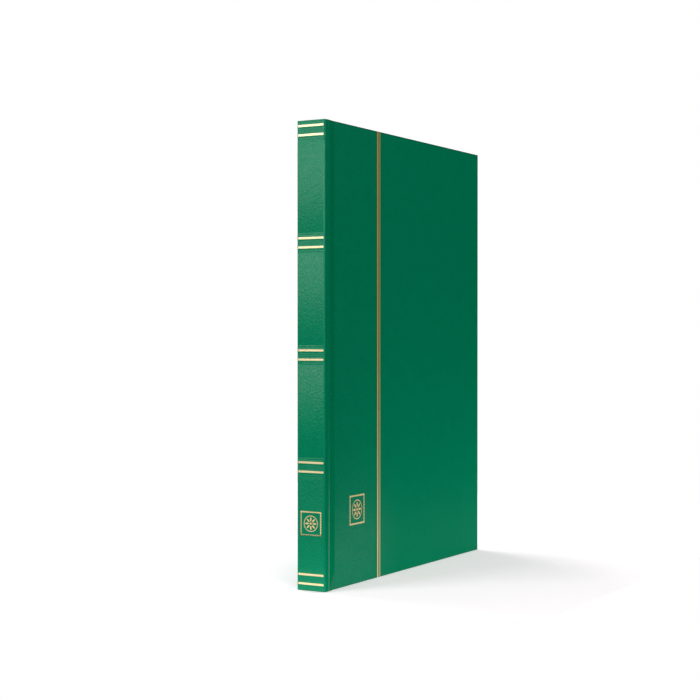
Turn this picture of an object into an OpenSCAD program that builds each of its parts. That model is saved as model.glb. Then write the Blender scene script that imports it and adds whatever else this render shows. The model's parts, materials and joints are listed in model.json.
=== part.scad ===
// Hard-backed stamp album with pocket pages, standing closed on its bottom edge.
// +X runs from the spine to the fore-edge, the front cover faces -Y, and +Z is up.
// The origin is on the floor, under the middle of the closed album.

/* [Album] */
// Height of the covers
album_h = 305; // [240:5:400]
// Width from the spine's outer face to the fore-edge
album_w = 230; // [170:5:300]
// Thickness over both closed covers
album_t = 20.5; // [17:0.5:40]

/* [Case] */
// Thickness of the front and back boards
board_t = 2.3; // [1.5:0.1:3]
// Thickness of the spine board
spine_board_t = 2.2; // [1.5:0.1:3]
// Thickness of the leatherette covering
cloth_t = 0.3; // [0.2:0.05:0.4]
// How far the covering is folded in behind the boards
turn_in = 15; // [8:1:25]
// Thickness of the paper pasted inside each board
pastedown_t = 0.2; // [0.1:0.05:0.3]
// Bare edge left around the pasted paper
pastedown_margin = 3; // [2:0.5:6]

/* [Joints] */
// Width of each joint between its two fold lines
joint_w = 9.6; // [7:0.2:14]
// Depth of the joint below the cover's outer face
groove_depth = 0.9; // [0.5:0.1:1.2]
// Clear gap beside each fold line
fold_gap = 0.4; // [0.3:0.1:0.8]
// Thickness of the cloth that lines the joint inside
lining_t = 0.2; // [0.1:0.05:0.3]
// Thickness of the cloth glued inside the spine
mull_t = 0.2; // [0.1:0.05:0.3]

/* [Leaves] */
// Number of leaves, an even number
leaf_count = 8; // [4:2:8]
// Height of the leaves
leaf_h = 297; // [200:1:300]
// Distance from the leaves' fore-edge to the covers' fore-edge
fore_margin = 4; // [2:0.5:8]
// Thickness of each leaf's card
card_t = 0.8; // [0.5:0.1:1]
// Clear space between the outer leaves and the inside of the covers
end_gap = 0.5; // [0.3:0.1:1.5]
// Thickness of the sheets between the leaves
interleaf_t = 0.1; // [0.05:0.05:0.15]

/* [Leaf hinges] */
// Depth of the glued block, up to the outer leaves' fold line
stub_depth = 8; // [5:0.5:14]
// How much further out each inner fold line lies than the one before it
stub_step = 0.5; // [0.3:0.1:1]
// Thickness of one of the two linen tapes of a leaf hinge
linen_t = 0.12; // [0.08:0.02:0.14]
// Width of bare linen between the fold line and the card
linen_flex = 8; // [6:0.5:14]
// Width of linen glued to the card
linen_grip = 6; // [4:0.5:12]

/* [Pocket strips] */
// Number of strips on each side of a leaf
strip_count = 9; // [4:1:9]
// Height of one strip
strip_h = 28; // [15:1:28]
// Thickness of a strip
strip_t = 0.12; // [0.08:0.02:0.14]
// Bare margin at both ends of a strip
strip_margin = 3; // [1:0.5:8]

/* [Bands] */
// Diameter of the woven bead at the head and tail of the block
band_d = 1.8; // [1.2:0.1:2.4]

/* [Gilt] */
// Depth that the gilt foil is pressed into the covering
foil_t = 0.1; // [0.04:0.02:0.14]
// Width of each gilt line on the spine
spine_line_w = 1.35; // [0.6:0.05:2]
// Distance between the two lines of a pair on the spine
spine_pair_gap = 6; // [3:0.2:10]
// Number of pairs of lines on the spine
spine_pairs = 5; // [2:1:6]
// Distance from the top edge to the middle of the topmost pair
spine_top_inset = 6.5; // [6:0.1:12]
// Distance from the bottom edge to the middle of the lowest pair
spine_bottom_inset = 7.4; // [6:0.1:12]
// Bare end left beside the spine lines
spine_line_margin = 0.35; // [0.3:0.05:3]
// Distance from the spine's outer face to the wide gilt line on the front
front_line_u = 71; // [40:0.2:90]
// Width of the wide line on the front
front_wide_w = 1.5; // [0.6:0.1:3]
// Width of the narrow line on the front
front_narrow_w = 0.9; // [0.4:0.1:2]
// Distance between the middles of the wide and narrow lines
front_line_gap = 2.9; // [2:0.1:6]

/* [Emblems] */
// Side of the stamp-shaped emblem on the spine
spine_emblem_w = 16; // [8:0.5:16]
// Height of the spine emblem's middle
spine_emblem_z = 43.6; // [30:0.1:60]
// Side of the stamp-shaped emblem on the front
front_emblem_w = 20; // [10:0.5:24]
// Height of the front emblem's middle
front_emblem_z = 49.3; // [30:0.1:80]
// Distance from the spine's outer face to the front emblem's middle
front_emblem_u = 42.5; // [32:0.5:50]

/* [Hidden] */
$fn = 48;
leaf_ids = [for (k = [1:leaf_count]) k];
interleaf_ids = [for (k = [1:leaf_count - 1]) k];

// Faces of the case, counted from the middle of the album
half_w = album_w / 2;
half_t = album_t / 2;
spine_inner_x = -half_w + cloth_t + spine_board_t;
mull_x = spine_inner_x + cloth_t + mull_t;
board_inner_y = half_t - cloth_t - board_t;
inner_half = board_inner_y - cloth_t - pastedown_t;

// Fold lines of the covers
fold_clearance = 0.2;
spine_fold_x = spine_inner_x + cloth_t + fold_clearance;
board_fold_x = spine_fold_x + joint_w;
fold_y = half_t - groove_depth - cloth_t;
cover_x = board_fold_x + fold_gap;

// Leaf block
leaf_t = card_t + 2 * max(strip_t, linen_t);
leaf_pitch = (2 * (inner_half - end_gap) - leaf_t) / (leaf_count - 1);
leaf_z = (album_h - leaf_h) / 2;
leaf_end_x = half_w - fore_margin;
stub_clearance = 0.3;
flex_clearance = 0.15;
strip_pitch = leaf_h / strip_count;

// A leaf's place in the block, how far in it lies, and its fold line
function leaf_y(k) = -inner_half + end_gap + leaf_t / 2 + (k - 1) * leaf_pitch;
function leaf_rank(k) = min(k, leaf_count + 1 - k) - 1;
function fold_x(rank) = mull_x + stub_depth + stub_step * rank;
function interleaf_rank(k) = min(k, leaf_count - k) - 0.5;

// A block between two corners
module block(low, high) {
    translate(low)
        cube(high - low);
}

// Puts its children on the front of the album, or mirrors them to the back
module on_side(side) {
    if (side == "back")
        mirror([0, 1, 0]) children();
    else
        children();
}

// Lays a flat pattern on the front cover, foil_t deep
module on_front(u, z) {
    translate([-half_w + u, -half_t + foil_t, z])
        rotate([90, 0, 0])
            linear_extrude(foil_t) children();
}

// Lays a flat pattern on the spine, foil_t deep
module on_spine(z) {
    translate([-half_w + foil_t, 0, z])
        rotate([90, 0, -90])
            linear_extrude(foil_t) children();
}

// Outline of a postage stamp with a row of half-round bites along each edge
module stamp_frame(side) {
    bites = 9;
    bite_pitch = side / bites;
    frame_w = side * 0.058;
    difference() {
        square(side, center = true);
        square(side - 2 * frame_w, center = true);
        for (turn = [0:3], i = [0:bites])
            rotate(90 * turn)
                translate([(i - bites / 2) * bite_pitch, side / 2])
                    circle(r = bite_pitch * 0.22);
    }
}

// Pointed petal between two arcs
module petal(reach, width) {
    radius = (reach * reach + width * width) / (4 * width);
    intersection() {
        translate([reach / 2, radius - width / 2]) circle(r = radius);
        translate([reach / 2, -radius + width / 2]) circle(r = radius);
    }
}

// Stamp outline around a ring and an eight-petalled flower
module emblem(side) {
    petals = 8;
    ring_r = side * 0.33;
    ring_w = side * 0.028;
    stamp_frame(side);
    difference() {
        circle(r = ring_r);
        circle(r = ring_r - ring_w);
    }
    circle(r = side * 0.045);
    for (i = [0:petals - 1])
        rotate(360 / petals * i)
            translate([side * 0.075, 0]) petal(side * 0.2, side * 0.07);
}

// Five pairs of lines across the spine
module spine_lines() {
    pair_span = album_h - spine_top_inset - spine_bottom_inset;
    line_l = album_t - 2 * (cloth_t + spine_line_margin);
    for (pair = [0:spine_pairs - 1], line = [-0.5, 0.5])
        on_spine(spine_bottom_inset + pair_span * pair / (spine_pairs - 1) + line * spine_pair_gap)
            square([line_l, spine_line_w], center = true);
}

// A wide and a narrow line down the whole front cover
module front_lines() {
    on_front(front_line_u, album_h / 2)
        square([front_wide_w, album_h], center = true);
    on_front(front_line_u + front_line_gap, album_h / 2)
        square([front_narrow_w, album_h], center = true);
}

module spine_gilt_lines() {
    color("gold") spine_lines();
}

module spine_emblem() {
    color("gold") on_spine(spine_emblem_z) emblem(spine_emblem_w);
}

module front_gilt_lines() {
    color("darkgoldenrod") front_lines();
}

module front_emblem() {
    color("gold") on_front(front_emblem_u, front_emblem_z) emblem(front_emblem_w);
}

module spine_board() {
    color("rosybrown")
        block([-half_w + cloth_t, -half_t + cloth_t, cloth_t],
              [spine_inner_x, half_t - cloth_t, album_h - cloth_t]);
}

module cover_board(side) {
    color("rosybrown") on_side(side)
        block([cover_x + cloth_t, -half_t + cloth_t, cloth_t],
              [half_w - cloth_t, -board_inner_y, album_h - cloth_t]);
}

// Covering around the spine board, folded in at the head and tail
module spine_cloth() {
    turned_y = fold_y - fold_clearance - 2 * cloth_t;
    color("seagreen") difference() {
        union() {
            block([-half_w, -half_t, 0], [spine_inner_x, half_t, album_h]);
            for (z = [0, album_h - turn_in])
                block([-half_w + cloth_t, -turned_y, z], [spine_inner_x + cloth_t, turned_y, z + turn_in]);
        }
        block([-half_w + cloth_t, -half_t + cloth_t, cloth_t],
              [spine_inner_x, half_t - cloth_t, album_h - cloth_t]);
        spine_lines();
        on_spine(spine_emblem_z) emblem(spine_emblem_w);
    }
}

// Covering of one board, folded in behind its three free edges
module cover_cloth(side) {
    turned_y = -board_inner_y + cloth_t;
    color("seagreen") difference() {
        on_side(side) difference() {
            block([cover_x, -half_t, 0], [half_w, turned_y, album_h]);
            block([cover_x + cloth_t, -half_t + cloth_t, cloth_t],
                  [half_w - cloth_t, -board_inner_y, album_h - cloth_t]);
            block([cover_x, -fold_y, -1], [cover_x + cloth_t, turned_y + 1, album_h + 1]);
            block([cover_x, -board_inner_y, turn_in], [half_w - turn_in, turned_y + 1, album_h - turn_in]);
        }
        if (side == "front") {
            front_lines();
            on_front(front_emblem_u, front_emblem_z) emblem(front_emblem_w);
        }
    }
}

// Covering across a joint, folded in at the head and tail
module joint_cloth(side) {
    color("seagreen") on_side(side) {
        block([spine_fold_x + fold_clearance, -fold_y - cloth_t, 0], [board_fold_x, -fold_y, album_h]);
        for (z = [0, album_h - turn_in])
            block([spine_fold_x + fold_clearance, -fold_y - cloth_t, z],
                  [board_fold_x, -fold_y + cloth_t, z + turn_in]);
    }
}

// Cloth inside a joint, which steps over the folded-in covering
module joint_lining(side) {
    color("honeydew") on_side(side) {
        block([spine_fold_x + fold_clearance, -fold_y, turn_in],
              [board_fold_x, -fold_y + cloth_t + lining_t, album_h - turn_in]);
        block([spine_fold_x + fold_clearance, -fold_y + cloth_t, pastedown_margin],
              [board_fold_x, -fold_y + cloth_t + lining_t, album_h - pastedown_margin]);
    }
}

// Paper inside a board, which steps over the folded-in covering
module pastedown(side) {
    color("honeydew") on_side(side) {
        block([cover_x + cloth_t, -board_inner_y, turn_in],
              [half_w - turn_in, -inner_half, album_h - turn_in]);
        block([cover_x + cloth_t, -board_inner_y + cloth_t, pastedown_margin],
              [half_w - pastedown_margin, -inner_half, album_h - pastedown_margin]);
    }
}

// Cloth that holds the leaf block to the spine
module spine_mull() {
    color("ivory") {
        block([spine_inner_x, -inner_half, turn_in], [mull_x, inner_half, album_h - turn_in]);
        block([spine_inner_x + cloth_t, -inner_half, leaf_z], [mull_x, inner_half, album_h - leaf_z]);
    }
}

// Woven bead across the end of the leaf block
module end_band(z) {
    color("darkgreen")
        translate([mull_x + band_d / 2, 0, z])
            rotate([90, 0, 0])
                cylinder(d = band_d, h = 2 * (inner_half - end_gap), center = true);
}

module leaf_stubs() {
    stub_half_t = (leaf_pitch - interleaf_t) / 2;
    color("ivory")
        for (k = leaf_ids)
            block([mull_x, leaf_y(k) - stub_half_t, leaf_z],
                  [fold_x(leaf_rank(k)) - stub_clearance, leaf_y(k) + stub_half_t, leaf_z + leaf_h]);
}

module interleaf_stubs() {
    color("gainsboro")
        for (k = interleaf_ids)
            translate([0, leaf_y(k) + leaf_pitch / 2, 0])
                block([mull_x, -interleaf_t / 2, leaf_z],
                      [fold_x(interleaf_rank(k)) - stub_clearance, interleaf_t / 2, leaf_z + leaf_h]);
}

module leaf_card(k) {
    color("white")
        block([fold_x(leaf_rank(k)) + linen_flex, leaf_y(k) - card_t / 2, leaf_z],
              [leaf_end_x, leaf_y(k) + card_t / 2, leaf_z + leaf_h]);
}

// Two linen tapes, together at the fold and parted around the card's edge
module leaf_hinge(k) {
    card_x = fold_x(leaf_rank(k)) + linen_flex;
    grip_half_t = card_t / 2 + linen_t;
    color("wheat") translate([0, leaf_y(k), leaf_z]) {
        block([fold_x(leaf_rank(k)) + flex_clearance, -linen_t, 0], [card_x, linen_t, leaf_h]);
        block([card_x - linen_t, -grip_half_t, 0], [card_x, grip_half_t, leaf_h]);
        for (face = [-grip_half_t, card_t / 2])
            block([card_x, face, 0], [card_x + linen_grip, face + linen_t, leaf_h]);
    }
}

// Pocket strips on both sides of a leaf, each open along its upper edge
module leaf_strips(k) {
    low_x = fold_x(leaf_rank(k)) + linen_flex + linen_grip + strip_margin;
    color("lightblue") translate([0, leaf_y(k), leaf_z])
        for (i = [0:strip_count - 1], face = [-card_t / 2 - strip_t, card_t / 2])
            block([low_x, face, i * strip_pitch + (strip_pitch - strip_h) / 2],
                  [leaf_end_x - strip_margin, face + strip_t, i * strip_pitch + (strip_pitch + strip_h) / 2]);
}

module interleaf(k) {
    color("gainsboro") translate([0, leaf_y(k) + leaf_pitch / 2, 0])
        block([fold_x(interleaf_rank(k)) + flex_clearance, -interleaf_t / 2, leaf_z],
              [leaf_end_x, interleaf_t / 2, leaf_z + leaf_h]);
}

spine_board();
cover_board("front");  // front_board
cover_board("back");  // back_board
spine_cloth();
cover_cloth("front");  // front_cloth
cover_cloth("back");  // back_cloth
joint_cloth("front");  // front_joint_cloth
joint_cloth("back");  // back_joint_cloth
joint_lining("front");  // front_joint_lining
joint_lining("back");  // back_joint_lining
pastedown("front");  // front_pastedown
pastedown("back");  // back_pastedown
spine_mull();
end_band(leaf_z + leaf_h + band_d / 2);  // head_band
end_band(leaf_z - band_d / 2);  // tail_band
leaf_stubs();
interleaf_stubs();
for (k = leaf_ids) {
    leaf_card(k);
    leaf_strips(k);
    leaf_hinge(k);
}
for (k = interleaf_ids)
    interleaf(k);
spine_gilt_lines();
spine_emblem();
front_gilt_lines();
front_emblem();
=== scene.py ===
import json
import math

import bmesh
import bpy
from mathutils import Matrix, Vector


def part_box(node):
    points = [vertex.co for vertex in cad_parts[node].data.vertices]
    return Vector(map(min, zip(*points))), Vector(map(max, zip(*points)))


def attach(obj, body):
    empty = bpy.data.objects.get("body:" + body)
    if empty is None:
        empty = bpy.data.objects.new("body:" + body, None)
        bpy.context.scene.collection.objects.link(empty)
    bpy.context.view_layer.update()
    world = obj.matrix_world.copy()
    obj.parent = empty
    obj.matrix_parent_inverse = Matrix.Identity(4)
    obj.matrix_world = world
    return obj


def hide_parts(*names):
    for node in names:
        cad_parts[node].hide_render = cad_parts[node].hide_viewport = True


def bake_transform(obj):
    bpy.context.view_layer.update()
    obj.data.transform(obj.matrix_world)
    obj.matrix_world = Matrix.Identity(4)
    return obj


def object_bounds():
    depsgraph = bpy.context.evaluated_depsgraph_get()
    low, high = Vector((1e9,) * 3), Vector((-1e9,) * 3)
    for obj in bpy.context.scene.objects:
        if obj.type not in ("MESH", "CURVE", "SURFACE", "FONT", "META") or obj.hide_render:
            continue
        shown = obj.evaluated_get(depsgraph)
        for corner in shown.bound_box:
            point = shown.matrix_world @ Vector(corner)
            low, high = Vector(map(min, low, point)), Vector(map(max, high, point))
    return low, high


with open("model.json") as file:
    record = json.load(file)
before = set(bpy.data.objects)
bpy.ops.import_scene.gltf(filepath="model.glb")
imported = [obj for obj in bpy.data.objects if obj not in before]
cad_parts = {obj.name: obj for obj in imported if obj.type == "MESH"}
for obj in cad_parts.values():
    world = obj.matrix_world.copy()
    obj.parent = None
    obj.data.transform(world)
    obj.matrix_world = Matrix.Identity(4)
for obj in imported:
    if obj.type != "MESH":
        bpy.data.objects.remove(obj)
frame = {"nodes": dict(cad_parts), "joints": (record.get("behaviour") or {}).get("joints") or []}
cad_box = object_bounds()
album_low, album_high = cad_box
height = album_high.z
spine_x, fore_x = album_low.x, album_high.x
front_y, back_y = album_low.y, album_high.y
bpy.ops.object.select_all(action="DESELECT")


# Camera. It stands at the spine side of the album, a little above half its height,
# and looks along the front cover, so that the spine and the cover both show.
camera_data = bpy.data.cameras.new("camera")
camera_data.sensor_width = 36
camera_data.lens = 78.8
camera = bpy.data.objects.new("camera", camera_data)
camera.location = (-0.9605, -0.5195, 0.1652)
camera.rotation_euler = (math.radians(90 - 0.521), 0, math.radians(30.10 - 90))
bpy.context.scene.collection.objects.link(camera)
bpy.context.scene.camera = camera


# Studio. A small white floor, which glows a little, lies under a white surround that only the
# camera sees. Five soft lamps light the album: from the front, the fore-edge side, behind the
# spine, the back and straight above.
class Wire:
    """A shader value that can be added, subtracted and multiplied."""

    def __init__(self, finish, socket):
        self.finish = finish
        self.socket = socket

    def maths(self, operation, first, second):
        return self.finish.maths(operation, first, second)

    def __add__(self, other):
        return self.maths("ADD", self, other)

    def __sub__(self, other):
        return self.maths("SUBTRACT", self, other)

    def __mul__(self, other):
        return self.maths("MULTIPLY", self, other)

    def __rsub__(self, other):
        return self.maths("SUBTRACT", other, self)

    __radd__ = __add__
    __rmul__ = __mul__


class Finish:
    """A material on its way: makes nodes and sets the surface's own sockets."""

    def __init__(self, name):
        self.material = bpy.data.materials.new(name)
        self.material.use_nodes = True
        self.nodes = self.material.node_tree.nodes
        self.links = self.material.node_tree.links
        self.surface = self.nodes["Principled BSDF"]

    def plug(self, socket, value):
        if isinstance(value, Wire):
            self.links.new(value.socket, socket)
        else:
            socket.default_value = value

    def node(self, kind, settings=None, inputs=None, output=0):
        made = self.nodes.new("ShaderNode" + kind)
        for name, value in (settings or {}).items():
            if name == "stops":
                for stop, (place, colour) in zip(made.color_ramp.elements, value):
                    stop.position, stop.color = place, colour
            else:
                setattr(made, name, value)
        for name, value in (inputs or {}).items():
            self.plug(made.inputs[name], value)
        return Wire(self, made.outputs[output])

    def set(self, **values):
        for name, value in values.items():
            self.plug(self.surface.inputs[name.replace("_", " ")], value)

    def place(self):
        return self.node("TexCoord", output="Object")

    def noise(self, scale, detail=2.0, stretch=(1, 1, 1)):
        spread = self.node("Mapping", None, {"Vector": self.place(), "Scale": stretch})
        return self.node("TexNoise", None, {"Vector": spread, "Scale": scale, "Detail": detail})

    def blend(self, share, first, second):
        mixed = {"Factor": share, 6: first, 7: second}
        return self.node("Mix", {"data_type": "RGBA"}, mixed, output=2)

    def maths(self, operation, first, second):
        return self.node("Math", {"operation": operation}, {0: first, 1: second})

    def ramp(self, value, knots):
        """Follows a list of places and levels, with soft steps between them."""
        level = self.node("Value") * 0.0
        for (near, first), (far, second) in zip(knots, knots[1:]):
            span = {"Value": value, "From Min": near, "From Max": far, "To Max": second - first}
            level = level + self.node("MapRange", {"interpolation_type": "SMOOTHSTEP"}, span)
        return level

    def bump(self, height, distance, strength=1.0, under=None):
        inputs = {"Height": height, "Distance": distance, "Strength": strength}
        if under:
            inputs["Normal"] = under
        return self.node("Bump", None, inputs)


def add_lamp(name, place, aim, size, power):
    bpy.ops.object.light_add(type="AREA", location=place)
    lamp = bpy.context.object
    lamp.name = name
    lamp.data.shape = "RECTANGLE"
    lamp.data.size, lamp.data.size_y = size
    lamp.data.energy = power
    lamp.rotation_euler = (Vector(aim) - Vector(place)).to_track_quat("-Z", "Y").to_euler()
    return lamp


album_middle = (0, 0, height / 2)
add_lamp("key_lamp", (-1.25, -1.15, 1.1), album_middle, (1.3, 1.3), 21.5)
add_lamp("fill_lamp", (1.3, -0.7, 1.5), album_middle, (1.2, 1.2), 14)
add_lamp("spine_lamp", (-1.43, 0.80, 0.67), album_middle, (0.9, 0.5), 17)
add_lamp("back_lamp", (0.5, 1.5, 1.2), (0.1, 0.2, 0), (1.2, 1.2), 22)
add_lamp("top_lamp", (0.0, 0.0, 2.6), (0, 0, 0), (3.0, 3.0), 22)

surround = bpy.data.worlds.new("surround")
surround.use_nodes = True
surround.node_tree.nodes["Background"].inputs["Color"].default_value = (1, 1, 1, 1)
surround.node_tree.nodes["Background"].inputs["Strength"].default_value = 1.0
surround.cycles_visibility.diffuse = False
surround.cycles_visibility.glossy = False
surround.cycles_visibility.transmission = False
bpy.context.scene.world = surround
bpy.context.scene.view_settings.view_transform = "Standard"

bpy.ops.mesh.primitive_plane_add(size=1, location=(0.181, 0.14, -0.0002))
floor = bpy.context.object
floor.name = "floor"
floor.scale = (0.648, 0.62, 1)
bpy.ops.object.transform_apply(location=True, rotation=True, scale=True)
floor_paint = Finish("floor_white")
floor_paint.set(Base_Color=(0.95, 0.905, 0.93, 1), Roughness=0.85, Emission_Color=(1, 1, 1, 1),
                Emission_Strength=0.15)
floor.data.materials.append(floor_paint.material)


# Boards. Three pieces of dense grey pasteboard, cut square: front, back and spine.
# They are shut in by the covering and the endpapers.
def dress(name, finish):
    shape = frame["nodes"][name].data
    shape.materials.clear()
    shape.materials.append(finish.material)


def make_pasteboard():
    finish = Finish("grey_pasteboard")
    fibres = finish.noise(900, 6, (1, 1, 0.3))
    flecks = finish.noise(4000, 2)
    shade = finish.blend(fibres, (0.30, 0.27, 0.23, 1), (0.44, 0.40, 0.35, 1))
    finish.set(Base_Color=shade, Roughness=0.9, Normal=finish.bump(flecks, 0.0001))
    return finish


pasteboard = make_pasteboard()
for board in ("front_board", "back_board", "spine_board"):
    dress(board, pasteboard)


# Covering. One skin of green imitation leather is glued round the boards and folded in at
# every edge. Between the spine and the front board it rises to a ridge, then falls into a groove
# where it bends. The back is nearly flat there. Creases are pressed beside the spine's gilt lines.
cloth = 0.0003
fold_radius = 0.00028
spine_corner_radius = 0.0006
spine_face_half = 0.00965
joint_low, joint_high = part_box("front_joint_cloth")
board_low, board_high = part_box("front_board")
cover_low, cover_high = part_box("front_cloth")
spine_skin_low, spine_skin_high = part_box("spine_cloth")
joint_middle_x = (joint_low.x + joint_high.x) / 2
joint_fade = 0.014
joint_lining_depth = 0.0012
front_swell = 0.00085
back_swell = 0.00012


# Painted shade: a thin band along the top edge is coloured dark green and loses its coat, standing in for
# the shade on the fold that faces up.
painted_top_shade_start, painted_top_shade_full = 0.0009, 0.0004
closing_reach = 0.0065
polish_roughness = 0.3
# Painted shade: across the joint's groove, 6 to 13 mm from the spine, the green is coloured darker to stand
# in for the shade that falls in the groove.
painted_groove_shade_band = [(0.0060, 0.0), (0.0070, 1.0), (0.0122, 1.0), (0.0132, 0.0)]


def make_leatherette(name, gloss, ridge=(), panel=()):
    """Green imitation leather, with painted shade in the joint's groove and along the top edge away from
    the spine. Its rubbed places are lists of distances from the spine and weights.
    """
    finish = Finish(name)
    pores = finish.node("TexVoronoi", {"feature": "F1"}, {"Vector": finish.place(), "Scale": 1900.0})
    wrinkles = finish.noise(620, 5)
    swell = finish.noise(26, 3, (1, 1, 0.45))
    mottle = finish.noise(90, 4)
    waves = finish.bump(swell, 0.0007, 0.6)
    creases = finish.bump(wrinkles, 0.00025, 0.9, waves)
    grain = finish.bump(pores, 0.0001, 0.8, creases)
    finish.surface.inputs["Specular IOR Level"].default_value = gloss
    finish.surface.inputs["Coat Roughness"].default_value = polish_roughness
    across = finish.node("SeparateXYZ", None, {"Vector": finish.place()}) - spine_x
    level = finish.node("SeparateXYZ", None, {"Vector": finish.place()}, output=2)
    from_middle = finish.maths("ABSOLUTE", level - height / 2, 0.0)
    span = {"Value": from_middle, "From Min": height / 2 - joint_fade, "From Max": height / 2,
            "To Max": closing_reach}
    closing = finish.node("MapRange", {"interpolation_type": "SMOOTHSTEP"}, span)
    coat = finish.ramp(across, ridge) + finish.ramp(across + closing, panel)
    # Painted shade along the top edge, from 0.9 mm below it, and only from 3 to 5 mm out from the spine
    # onwards.
    painted_top_shade = finish.ramp(level, [(height - painted_top_shade_start, 0.0), (height - painted_top_shade_full, 1.0)])
    painted_top_shade = painted_top_shade * finish.ramp(across, [(0.003, 0.0), (0.005, 1.0)])
    plain = finish.blend(mottle, (0.0, 0.218, 0.100, 1), (0.0, 0.246, 0.116, 1))
    # Painted shade: a darker copy of the green, used in the groove band.
    painted_groove_shade_colour = finish.blend(mottle, (0.0, 0.193, 0.078, 1), (0.0, 0.220, 0.092, 1))
    shade = finish.blend(finish.ramp(across, painted_groove_shade_band), plain, painted_groove_shade_colour)
    shade = finish.blend(painted_top_shade, shade, (0.0, 0.11, 0.035, 1))
    finish.set(Base_Color=shade, Roughness=0.28 + 0.06 * mottle, Normal=grain)
    finish.set(Coat_Weight=coat * (0.1 + 1.8 * wrinkles) * (1.0 - painted_top_shade))
    return finish


spine_edge_polish = [(-0.002, 0.0), (-0.001, 0.3), (0.0005, 0.3), (0.0009, 0.0)]
ridge_polish = spine_edge_polish + [(0.0030, 0.0), (0.0041, 0.55), (0.0050, 0.55), (0.0062, 0.0)]
cover_polish = [(0.0124, 0.0), (0.0135, 0.24), (0.0400, 0.24), (0.1100, 0.05)]
spine_leatherette = make_leatherette("spine_leatherette", 0.14)
joint_leatherette = make_leatherette("joint_leatherette", 0.0, ridge_polish, cover_polish)
cover_leatherette = make_leatherette("cover_leatherette", 0.0, (), cover_polish)


def wear(piece, finish):
    piece.data.materials.clear()
    piece.data.materials.append(finish.material)


def only(piece):
    bpy.ops.object.select_all(action="DESELECT")
    piece.select_set(True)
    bpy.context.view_layer.objects.active = piece


def settle(piece):
    only(piece)
    bpy.ops.object.transform_apply(location=True, rotation=True, scale=True)


def make_slab(name, low, high):
    low, high = Vector(low), Vector(high)
    bpy.ops.object.select_all(action="DESELECT")
    bpy.ops.mesh.primitive_cube_add(size=1, location=(low + high) / 2, scale=high - low)
    slab = bpy.context.object
    slab.name = name
    settle(slab)
    return slab


def pick(piece, kind, test):
    """In edit mode, selects the corners, edges or faces that pass the test."""
    bpy.ops.mesh.select_mode(type={"verts": "VERT", "edges": "EDGE", "faces": "FACE"}[kind])
    bpy.ops.mesh.select_all(action="DESELECT")
    shape = bmesh.from_edit_mesh(piece.data)
    for part in getattr(shape, kind):
        if test(part):
            part.select_set(True)
    shape.select_flush_mode()
    bmesh.update_edit_mesh(piece.data)


def cut_across(piece, axis, places):
    """Cuts new edges right round the piece at each place along an axis."""
    only(piece)
    bpy.ops.object.mode_set(mode="EDIT")
    for place in places:
        bpy.ops.mesh.select_all(action="SELECT")
        bpy.ops.mesh.bisect(plane_co=axis * place, plane_no=axis)
    bpy.ops.object.mode_set(mode="OBJECT")


def keep_part(piece, point, away):
    """Cuts the piece at a plane, drops the part that away points to, and closes the cut."""
    only(piece)
    bpy.ops.object.mode_set(mode="EDIT")
    bpy.ops.mesh.select_all(action="SELECT")
    bpy.ops.mesh.bisect(plane_co=point, plane_no=away, use_fill=True, clear_outer=True)
    bpy.ops.mesh.select_all(action="SELECT")
    bpy.ops.mesh.normals_make_consistent(inside=False)
    bpy.ops.object.mode_set(mode="OBJECT")


def round_edges(piece, width, segments=3, angle=40):
    only(piece)
    bevel = piece.modifiers.new("round", "BEVEL")
    bevel.width, bevel.segments = width, segments
    bevel.limit_method, bevel.angle_limit = "ANGLE", math.radians(angle)
    bevel.use_clamp_overlap = True
    bpy.ops.object.modifier_apply(modifier=bevel.name)


def carve(piece, cutter):
    only(piece)
    hollow = piece.modifiers.new("hollow", "BOOLEAN")
    hollow.operation, hollow.solver, hollow.object = "DIFFERENCE", "EXACT", cutter
    bpy.ops.object.modifier_apply(modifier=hollow.name)
    bpy.data.objects.remove(cutter)


def twin(piece, name):
    copy = piece.copy()
    copy.data = piece.data.copy()
    copy.name = name
    bpy.context.scene.collection.objects.link(copy)
    return copy


def mirror_to_back(piece, name):
    copy = twin(piece, name)
    only(copy)
    bpy.ops.object.mode_set(mode="EDIT")
    bpy.ops.mesh.select_all(action="SELECT")
    bpy.ops.transform.resize(value=(1, -1, 1), center_override=(0, 0, 0))
    bpy.ops.mesh.normals_make_consistent(inside=False)
    bpy.ops.object.mode_set(mode="OBJECT")
    return copy


most_smooth_corners = 8


def shade_by_angle(piece, degrees=25):
    """Smooths shallow edges, but leaves faces with many corners flat."""
    only(piece)
    bpy.ops.object.shade_smooth_by_angle(angle=math.radians(degrees))
    for face in piece.data.polygons:
        if len(face.vertices) > most_smooth_corners:
            face.use_smooth = False


def joint_depth(x, z, swell):
    """How far the joint is pressed in, or stands out, at a distance from the spine."""
    across = x - spine_x
    profile = [(0.0012, -0.86), (0.0024, -0.94), (0.0029, -0.97), (0.0034, -0.99), (0.0039, -1.0),
               (0.0044, -0.99), (0.0051, -0.90), (0.0058, -0.76), (0.0118, 0.14), (0.0126, 0.22),
               (0.0129, 0.04), (0.0133, 0)]
    share = 0
    for (near, first), (far, second) in zip(profile, profile[1:]):
        if near <= across <= far:
            share = first + (second - first) * (across - near) / (far - near)
    from_end = min(1, max(0, min(z, height - z) / joint_fade))
    return swell * share * (0.8 + 0.2 * from_end * from_end * (3 - 2 * from_end))


edge_steps = 5
body_edge = [(0, 0.0002), (0, -0.00022), (0.00006, -0.00045), (0.00024, -0.00063), (0.0006, -0.00073)]
head_edge = [(0, 0.0003), (0.00010, 0.00008), (0.00034, -0.00004), (0.00038, -0.00030),
             (0.0006, -0.00060)]
head_pinch = 0.017
pinch_fade = 0.003


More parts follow.
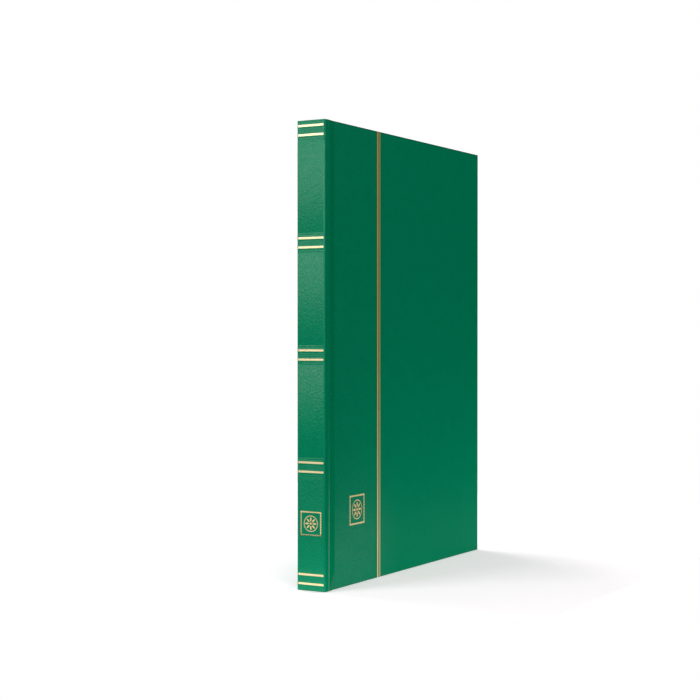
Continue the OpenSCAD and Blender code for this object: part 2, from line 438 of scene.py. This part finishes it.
def make_case_side(swell):
    """The covering of one board and its joint, with the spine's rounded edge."""
    case = make_slab("case_side", (spine_x, front_y, 0), (fore_x, cover_high.y, height))
    bpy.ops.object.mode_set(mode="EDIT")
    pick(case, "edges", lambda e: all(v.co.x < spine_x + 1e-5 and v.co.y < front_y + 1e-5
                                      for v in e.verts))
    bpy.ops.mesh.bevel(offset=spine_corner_radius, segments=edge_steps, affect="EDGES")
    bpy.ops.object.mode_set(mode="OBJECT")
    stations = [0.0012, 0.0018, 0.0024, 0.0029, 0.0034, 0.0039, 0.0044, 0.0051, 0.0058, 0.0078, 0.0098,
                0.0110, 0.0115, 0.0118, 0.0121, 0.0124, 0.0126, 0.0128, 0.0131, 0.0134, 0.0139, 0.0145]
    cut_across(case, Vector((1, 0, 0)), [spine_x + s for s in stations])
    steps = [0.0012, 0.0025, 0.004, 0.006, 0.008, 0.010, 0.012, joint_fade, head_pinch, 0.0195]
    cut_across(case, Vector((0, 0, 1)), steps + [height - s for s in steps])
    quarter = math.pi / 2 / edge_steps
    hub = Vector((spine_x + spine_corner_radius, front_y + spine_corner_radius, 0))
    for corner in case.data.vertices:
        point = corner.co
        depth = joint_depth(point.x, point.z, swell)
        if point.y > cover_high.y - 0.0001:
            if point.x < spine_skin_high.x - 0.0001:
                point.y = -spine_face_half
            elif point.x < cover_low.x - 0.0002:
                point.y = front_y + joint_lining_depth
        elif point.x > spine_x + spine_corner_radius + 0.0001:
            point.y = front_y + depth
        else:
            turned = math.atan2(hub.y - point.y, hub.x - point.x)
            step = round(turned / quarter)
            if step > 0:
                head = min(1, max(0, (point.z - (height - head_pinch)) / pinch_fade))
                side = swell / front_swell
                (body_in, body_out), (head_in, head_out) = body_edge[step - 1], head_edge[step - 1]
                plain = Vector((point.x, point.y, point.z))
                shaped_x = spine_x + body_in + (head_in - body_in) * head
                shaped_y = front_y + body_out + (head_out - body_out) * head
                point.x = plain.x + (shaped_x - plain.x) * side
                point.y = plain.y + (shaped_y - plain.y) * side
    round_edges(case, fold_radius)
    return case


turn_in = 0.015


def split_case(swell):
    """Makes one side and parts it in the middle of the joint, with a bed for the board."""
    joint_part = make_case_side(swell)
    cover_part = twin(joint_part, "cover_part")
    keep_part(joint_part, (joint_middle_x, 0, 0), (1, 0, 0))
    keep_part(cover_part, (joint_middle_x, 0, 0), (-1, 0, 0))
    carve(cover_part, make_slab("board_bed", board_low, board_high))
    carve(cover_part, make_slab("paper_bed", (cover_low.x + cloth, board_high.y - cloth, turn_in),
                                (fore_x - turn_in, cover_high.y + cloth, height - turn_in)))
    return joint_part, cover_part


front_joint_skin, front_cover_skin = split_case(front_swell)
front_joint_skin.name, front_cover_skin.name = "front_joint_covering", "front_cover_covering"
joint_part, cover_part = split_case(back_swell)
back_joint_skin = mirror_to_back(joint_part, "back_joint_covering")
back_cover_skin = mirror_to_back(cover_part, "back_cover_covering")
for part in (joint_part, cover_part):
    bpy.data.objects.remove(part)

spine_skin = make_slab("spine_covering", (spine_x, -spine_face_half, 0),
                       (spine_skin_high.x, spine_face_half, height))
bpy.ops.object.mode_set(mode="EDIT")
pick(spine_skin, "edges", lambda e: abs(e.verts[0].co.z - e.verts[1].co.z) < 1e-6
     and abs(e.verts[0].co.x - e.verts[1].co.x) < 1e-6)
bpy.ops.mesh.bevel(offset=fold_radius, segments=3, affect="EDGES")
bpy.ops.object.mode_set(mode="OBJECT")

tooled_pitch, tooled_half, tooled_depth = 0.0013, 0.00032, 0.00011
levels = sorted({round(corner.co.z, 4) for corner in frame["nodes"]["spine_gilt_lines"].data.vertices})
creases = []
for place in range(0, len(levels), 4):
    lowest, under, over, highest = levels[place:place + 4]
    creases += [under + (over - under) * share for share in (0.25, 0.5, 0.75)]
    creases += [lowest - tooled_pitch, lowest - 2 * tooled_pitch]
    creases += [highest + tooled_pitch, highest + 2 * tooled_pitch]
cut_across(spine_skin, Vector((0, 0, 1)), [z + side * tooled_half for z in creases for side in (-1, 0, 1)])
for corner in spine_skin.data.vertices:
    if corner.co.x < spine_x + 0.00001 and any(abs(corner.co.z - z) < 0.00001 for z in creases):
        corner.co.x += tooled_depth

for skin, node, finish in ((front_joint_skin, "front_joint_cloth", joint_leatherette),
                           (back_joint_skin, "back_joint_cloth", joint_leatherette),
                           (front_cover_skin, "front_cloth", cover_leatherette),
                           (back_cover_skin, "back_cloth", cover_leatherette),
                           (spine_skin, "spine_cloth", spine_leatherette)):
    wear(skin, finish)
    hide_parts(node)


# Gilt. Gold foil is pressed hot into the covering: five pairs of lines and an emblem on the
# spine, and a wide line, a narrow line and an emblem on the front cover.
press_depth = 0.00004
foil_bed = 0.00012


def make_foil(name, dark, light, metal, head=None):
    finish = Finish(name)
    flaws = finish.noise(1500, 3)
    patches = finish.noise(120, 2)
    shade = finish.blend(patches, dark, light)
    if head:
        # Painted reflection: given a head colour, the foil keeps its paler gold up to 2 cm from the bottom
        # and turns to the head colour by 20 cm, standing in for the bright floor reflected low down and
        # darker surroundings reflected higher up.
        level = finish.node("SeparateXYZ", None, {"Vector": finish.place()}, output=2)
        shade = finish.blend(finish.ramp(level, [(0.02, 0.0), (0.20, 1.0)]), shade, head)
    finish.set(Base_Color=shade, Roughness=0.30 + 0.12 * patches, Metallic=metal,
               Normal=finish.bump(flaws, 0.00002, 0.5))
    return finish


pale_gold = make_foil("pale_gold_foil", (0.98, 0.74, 0.36, 1), (1.0, 0.86, 0.52, 1), 0.15)
warm_gold = make_foil("warm_gold_foil", (0.98, 0.66, 0.29, 1), (1.0, 0.78, 0.42, 1), 0.1)
# Painted reflection: the front lines are pale gold at the bottom and copper at the top.
copper_gold = make_foil("copper_gold_foil", (0.95, 0.62, 0.26, 1), (1.0, 0.72, 0.36, 1), 0.05,
                        (1.0, 0.44, 0.09, 1))


def press_foil(node, skins, inward, name, foil_finish):
    """Sinks a copy of the foil's shape below the skin, in a bed cut to its outline."""
    foil = twin(frame["nodes"][node], name)
    foil.parent = None
    foil.hide_render = foil.hide_viewport = False
    for key in list(foil.keys()):
        del foil[key]
    only(foil)
    bpy.ops.object.mode_set(mode="EDIT")
    bpy.ops.mesh.select_all(action="SELECT")
    bpy.ops.mesh.remove_doubles(threshold=0.000004)
    bpy.ops.mesh.dissolve_limited(angle_limit=math.radians(1))
    bpy.ops.object.mode_set(mode="OBJECT")
    low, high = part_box(node)
    anchor = Vector(low if inward.dot(high - low) > 0 else high)
    for skin in skins:
        cutter = twin(foil, "foil_bed")
        for corner in cutter.data.vertices:
            deep = (corner.co - anchor).dot(inward)
            corner.co += inward * (foil_bed - deep if deep > 0.00005 else -foil_bed - deep)
        carve(skin, cutter)
    for corner in foil.data.vertices:
        deep = (corner.co - anchor).dot(inward)
        if deep < 0.00005:
            corner.co += inward * press_depth
    wear(foil, foil_finish)
    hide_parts(node)
    return foil


into_spine, into_cover = Vector((1, 0, 0)), Vector((0, 1, 0))
spine_gilt = press_foil("spine_gilt_lines", [spine_skin], into_spine, "spine_lines_foil", pale_gold)
spine_mark = press_foil("spine_emblem", [spine_skin], into_spine, "spine_emblem_foil", warm_gold)
cover_gilt = press_foil("front_gilt_lines", [front_cover_skin], into_cover, "front_lines_foil", copper_gold)
cover_mark = press_foil("front_emblem", [front_cover_skin], into_cover, "front_emblem_foil", warm_gold)
for skin in (front_joint_skin, back_joint_skin, front_cover_skin, back_cover_skin):
    shade_by_angle(skin)
shade_by_angle(spine_skin, 12)
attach(spine_gilt, "spine")
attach(spine_mark, "spine")
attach(cover_gilt, "front_cover")
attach(cover_mark, "front_cover")

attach(spine_skin, "spine")
joint_at = {j["name"]: Vector(j["pos_m"]) for j in frame["joints"]}
for side in ("front", "back"):
    spine_fold = joint_at[side + "_joint_fold"]
    board_fold = joint_at[side + "_cover_fold"]
    joint_skin, cover_skin = {"front": (front_joint_skin, front_cover_skin),
                              "back": (back_joint_skin, back_cover_skin)}[side]
    side + "_joint"
    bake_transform(joint_skin)
    side + "_joint"
    side + "_cover"
    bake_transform(cover_skin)


# Endpapers. Off-white paper is pasted inside each board and on across the joint, where it
# meets a strip of lining cloth that reaches to the spine. The turned-in covering shows through
# the paper as a faint step.
paper_margin = 0.003
step_depth = 0.00018
lining_low, lining_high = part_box("front_joint_lining")
paste_low, paste_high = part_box("front_pastedown")


def make_paper(name, dark, light, roughness=0.8):
    finish = Finish(name)
    fibres = finish.noise(1400, 5)
    clouds = finish.noise(60, 3)
    finish.set(Base_Color=finish.blend(clouds, dark, light), Roughness=roughness,
               Normal=finish.bump(fibres, 0.00003, 0.5))
    return finish


endpaper = make_paper("endpaper", (0.76, 0.745, 0.70, 1), (0.83, 0.82, 0.78, 1))


def make_endpaper(name):
    paper = make_slab(name, (joint_middle_x, paste_high.y - 0.0002, paper_margin),
                      (fore_x - paper_margin, paste_high.y, height - paper_margin))
    joint_rise = 0.0009
    stations = [0.0108, 0.0112, 0.0115, 0.0118, 0.0121, 0.0124, 0.0127, 0.0130, 0.0133, 0.0138]
    cut_across(paper, Vector((1, 0, 0)), [spine_x + s for s in stations])
    cut_across(paper, Vector((1, 0, 0)), [fore_x - turn_in - joint_rise, fore_x - turn_in])
    cut_across(paper, Vector((0, 0, 1)), [turn_in, turn_in + joint_rise, height - turn_in - joint_rise,
                                          height - turn_in])
    sunk = paste_high.y - lining_high.y
    for corner in paper.data.vertices:
        point = corner.co
        across = point.x - spine_x
        share = min(1, max(0, (0.0133 - across) / 0.0012))
        inside = point.x < fore_x - turn_in - 0.0005
        inside = inside and turn_in + 0.0005 < point.z < height - turn_in - 0.0005
        point.y -= sunk * share * share * (3 - 2 * share)
        if inside and share == 0 and point.y > paste_high.y - 0.00001:
            point.y -= step_depth
    round_edges(paper, 0.00006, 2)
    wear(paper, endpaper)
    shade_by_angle(paper, 30)
    return paper


front_endpaper = make_endpaper("front_endpaper")
back_endpaper = mirror_to_back(front_endpaper, "back_endpaper")
lining_cloth = make_paper("lining_cloth", (0.70, 0.69, 0.63, 1), (0.78, 0.77, 0.71, 1), 0.9)
front_lining = make_slab("front_lining", (lining_low.x, lining_high.y - 0.0002, paper_margin),
                         (joint_middle_x, lining_high.y, height - paper_margin))
cut_across(front_lining, Vector((1, 0, 0)), [lining_low.x + s for s in (0.0002, 0.0004, 0.0006, 0.0009)])
wear(front_lining, lining_cloth)
back_lining = mirror_to_back(front_lining, "back_lining")
for side, paper, lining in (("front", front_endpaper, front_lining), ("back", back_endpaper, back_lining)):
    spine_fold, board_fold = joint_at[side + "_joint_fold"], joint_at[side + "_cover_fold"]
    side + "_joint"
    side + "_cover"
    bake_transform(paper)
    side + "_joint"
    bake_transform(lining)
    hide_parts(side + "_pastedown")
    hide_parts(side + "_joint_lining")


# Block ends. The stubs of the leaves are glued together and to the spine with open-weave
# cloth, and a woven bead with green and white stripes covers each end.
def make_weave(name, dark, light, threads):
    finish = Finish(name)
    up = finish.node("TexWave", {"bands_direction": "Z"}, {"Vector": finish.place(), "Scale": threads})
    along = finish.node("TexWave", {"bands_direction": "X"}, {"Vector": finish.place(), "Scale": threads})
    cloth_height = up * 0.5 + along * 0.5
    finish.set(Base_Color=finish.blend(cloth_height, dark, light), Roughness=0.85,
               Normal=finish.bump(cloth_height, 0.00008, 0.7))
    return finish


linen = make_weave("linen", (0.72, 0.70, 0.63, 1), (0.84, 0.82, 0.76, 1), 520)
mull = make_weave("mull", (0.60, 0.56, 0.46, 1), (0.80, 0.76, 0.66, 1), 300)
dress("spine_mull", mull)
dress("leaf_stubs", linen)
glassine = make_paper("glassine_stub", (0.74, 0.74, 0.69, 1), (0.82, 0.82, 0.78, 1), 0.4)
dress("interleaf_stubs", glassine)


def make_band_thread():
    finish = Finish("band_thread")
    stripe = finish.node("TexWave", {"bands_direction": "Y"}, {"Vector": finish.place(), "Scale": 160.0})
    colours = [(0.45, (0.0, 0.11, 0.055, 1)), (0.55, (0.78, 0.76, 0.68, 1))]
    ramp = finish.node("ValToRGB", {"stops": colours}, {0: stripe})
    finish.set(Base_Color=ramp, Roughness=0.7, Normal=finish.bump(finish.noise(3000), 0.00005, 0.6))
    return finish


band_thread = make_band_thread()
for node in ("head_band", "tail_band"):
    low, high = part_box(node)
    radius = (high.z - low.z) / 2
    bpy.ops.object.select_all(action="DESELECT")
    bpy.ops.mesh.primitive_cylinder_add(vertices=20, radius=radius, depth=high.y - low.y,
                                        location=(low + high) / 2, rotation=(math.pi / 2, 0, 0))
    bead = bpy.context.object
    bead.name = node + "_bead"
    settle(bead)
    turns = 26
    pitch = (high.y - low.y) / turns
    cut_across(bead, Vector((0, 1, 0)), [low.y + pitch * i / 2 for i in range(1, 2 * turns)])
    middle = (low + high) / 2
    for corner in bead.data.vertices:
        between = round((corner.co.y - low.y) / pitch * 2) % 2 == 0
        if between:
            corner.co.x = middle.x + (corner.co.x - middle.x) * 0.86
            corner.co.z = middle.z + (corner.co.z - middle.z) * 0.86
    wear(bead, band_thread)
    shade_by_angle(bead, 60)
    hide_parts(node)
    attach(bead, "spine")


# Leaves. Each is a sheet of white card, held by two linen tapes glued along its inner edge.
# Nine glassine strips on each face are glued at the bottom and ends, so that each is a pocket.
leaf_count = 8
card = make_paper("leaf_card", (0.80, 0.79, 0.76, 1), (0.86, 0.855, 0.83, 1), 0.65)


def make_strip_film():
    finish = Finish("strip_film")
    ripples = finish.noise(40, 2, (1, 1, 4))
    finish.set(Base_Color=(0.86, 0.87, 0.85, 1), Roughness=0.22, Alpha=0.42,
               Normal=finish.bump(ripples, 0.0002, 0.4))
    finish.surface.inputs["Coat Weight"].default_value = 0.3
    return finish


strip_film = make_strip_film()
strip_rows = 9
strip_height = 0.028
strip_thickness = 0.00012


def make_strips(leaf):
    low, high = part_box(f"leaf_{leaf}_strips")
    card_low, card_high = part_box(f"leaf_{leaf}_card")
    row_pitch = (high.z - low.z - strip_height) / (strip_rows - 1)
    strip = make_slab(f"leaf_{leaf}_pockets", (low.x, low.y, low.z),
                      (high.x, card_low.y, low.z + strip_height))
    hem = 0.0012
    cut_across(strip, Vector((0, 0, 1)), [low.z + hem, low.z + strip_height - hem])
    for corner in strip.data.vertices:
        if corner.co.z > low.z + strip_height - hem / 2 and corner.co.y > low.y + strip_thickness / 2:
            corner.co.y -= strip_thickness * 0.4
    rows = strip.modifiers.new("rows", "ARRAY")
    rows.use_relative_offset, rows.use_constant_offset = False, True
    rows.count, rows.constant_offset_displace = strip_rows, (0, 0, row_pitch)
    bpy.ops.object.modifier_apply(modifier=rows.name)
    other = twin(strip, "other_face")
    middle_y = (card_low.y + card_high.y) / 2
    for corner in other.data.vertices:
        corner.co.y = 2 * middle_y - corner.co.y
    only(other)
    bpy.ops.object.mode_set(mode="EDIT")
    bpy.ops.mesh.select_all(action="SELECT")
    bpy.ops.mesh.flip_normals()
    bpy.ops.object.mode_set(mode="OBJECT")
    strip.select_set(True)
    bpy.context.view_layer.objects.active = strip
    bpy.ops.object.join()
    return strip


for leaf in range(1, leaf_count + 1):
    body = f"leaf_{leaf}"
    sheet = make_slab(body + "_sheet", *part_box(body + "_card"))
    round_edges(sheet, 0.00015, 2)
    wear(sheet, card)
    shade_by_angle(sheet)
    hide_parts(body + "_card")
    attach(sheet, body)
    pockets = make_strips(leaf)
    wear(pockets, strip_film)
    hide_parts(body + "_strips")
    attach(pockets, body)
    dress(body + "_hinge", linen)


# Interleaves. A sheet of translucent glassine hangs loose between each pair of leaves and
# waves a little, because only its inner edge is glued.
def make_glassine():
    finish = Finish("glassine")
    clouds = finish.noise(70, 4)
    shade = finish.blend(clouds, (0.80, 0.80, 0.76, 1), (0.88, 0.88, 0.85, 1))
    finish.set(Base_Color=shade, Roughness=0.35, Alpha=0.62,
               Normal=finish.bump(finish.noise(30, 3), 0.0003, 0.4))
    return finish


glassine_film = make_glassine()
sheet_wave = 0.0001
for place in range(1, leaf_count):
    node = f"interleaf_{place}"
    low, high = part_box(node)
    veil = make_slab(node + "_sheet", low, high)
    cut_across(veil, Vector((1, 0, 0)), [low.x + (high.x - low.x) * i / 16 for i in range(1, 16)])
    cut_across(veil, Vector((0, 0, 1)), [low.z + (high.z - low.z) * i / 12 for i in range(1, 12)])
    for corner in veil.data.vertices:
        out = (corner.co.x - low.x) / (high.x - low.x)
        ripple = math.sin(corner.co.x * 61 + place * 1.7) * math.cos(corner.co.z * 37 + place)
        corner.co.y += sheet_wave * out * ripple
    wear(veil, glassine_film)
    shade_by_angle(veil, 60)
    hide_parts(node)
    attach(veil, node)


# Sizes. The box of the imported model is kept as cad_box. At the end nothing is left selected.
bpy.ops.object.select_all(action="DESELECT")
